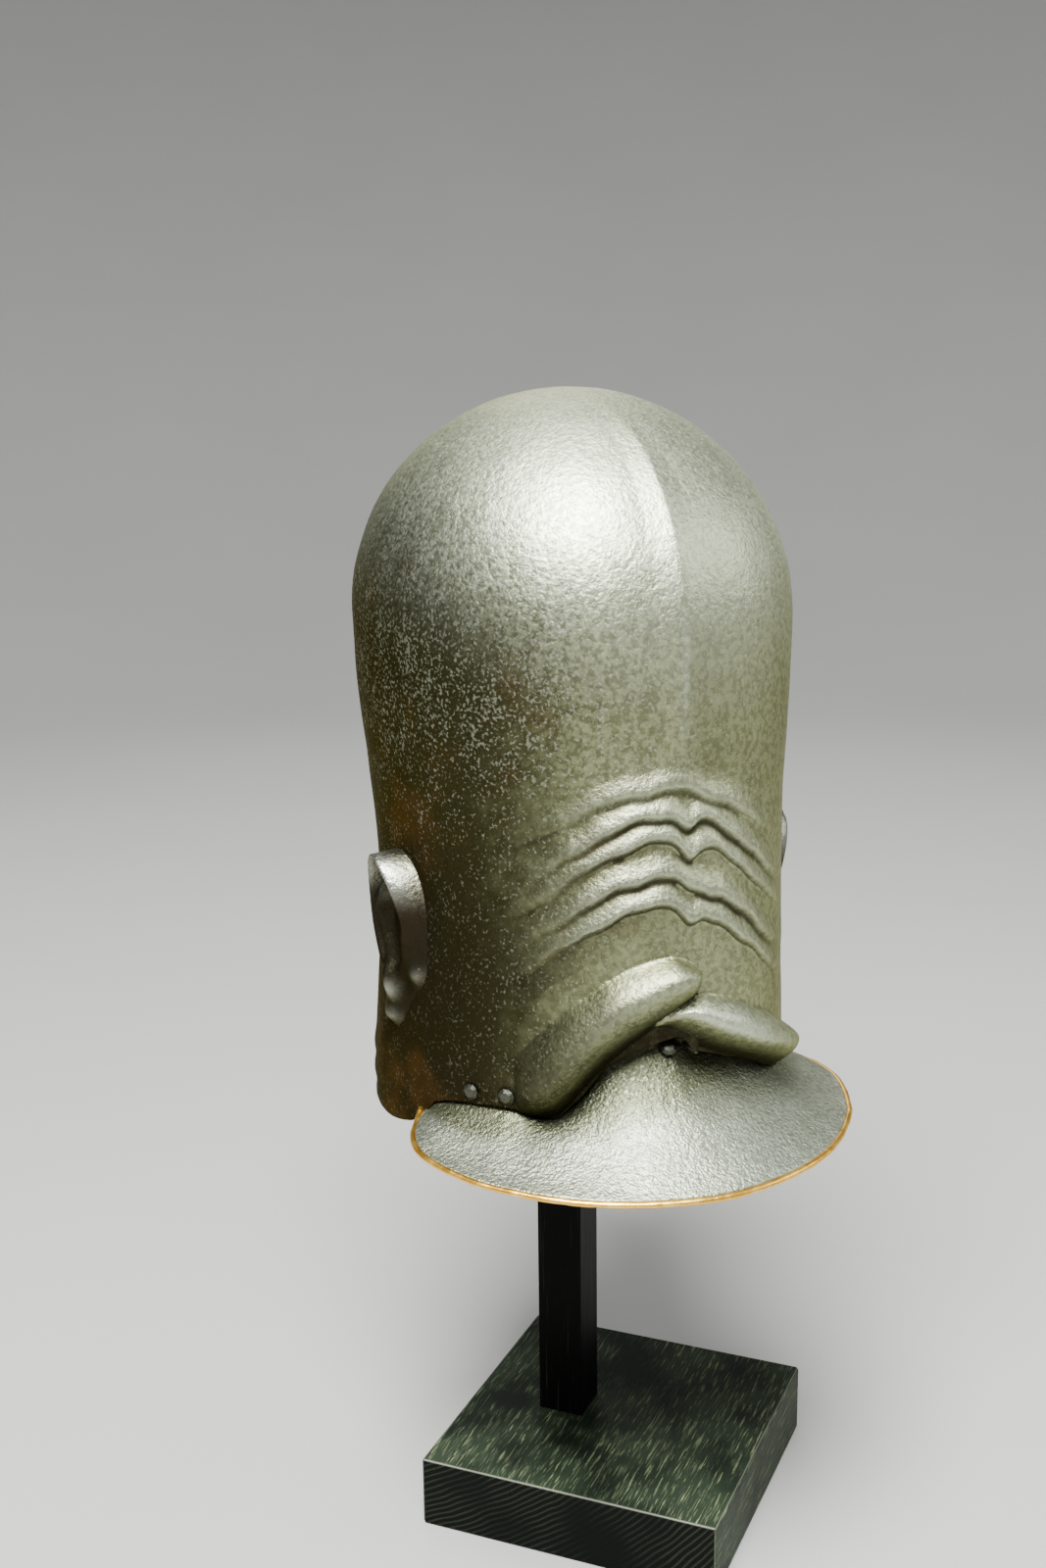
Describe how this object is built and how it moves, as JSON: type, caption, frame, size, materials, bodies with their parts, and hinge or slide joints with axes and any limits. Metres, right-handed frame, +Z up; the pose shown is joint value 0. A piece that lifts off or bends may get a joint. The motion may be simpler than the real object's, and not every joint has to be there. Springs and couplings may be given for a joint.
{
  "type": "samurai helmet on a display stand",
  "caption": "Tall rounded iron helmet with embossed brow folds, brows and ears, a flared eye shade with a gilt edge, on a square post and block.",
  "frame": {"origin": "on the underside of the stand's block, below the helmet's upright axis", "axes": "+Z up, the helmet faces -Y and its own left is +X; the stand's block is turned 46 degrees about Z"},
  "size_m": [0.2471, 0.2907, 0.584],
  "materials": {
    "bowl": "satin russet iron",
    "visor": "satin hammered iron",
    "visor_rim": "worn gilt",
    "ears": "satin russet iron",
    "rivets": "dark iron",
    "base_block": "dark oak with pale grain",
    "post": "black satin",
    "head_support": "plain black"
  },
  "bodies": {
    "root": {"bowl": "bowl", "visor": "visor", "visor_rim": "visor_rim", "ear_right": "ears", "ear_left": "ears", "rivet_centre": "rivets", "rivet_right_1": "rivets", "rivet_right_2": "rivets", "rivet_left_1": "rivets", "rivet_left_2": "rivets", "base_block": "base_block", "post": "post", "head_support": "head_support"}
  },
  "joints": []
}
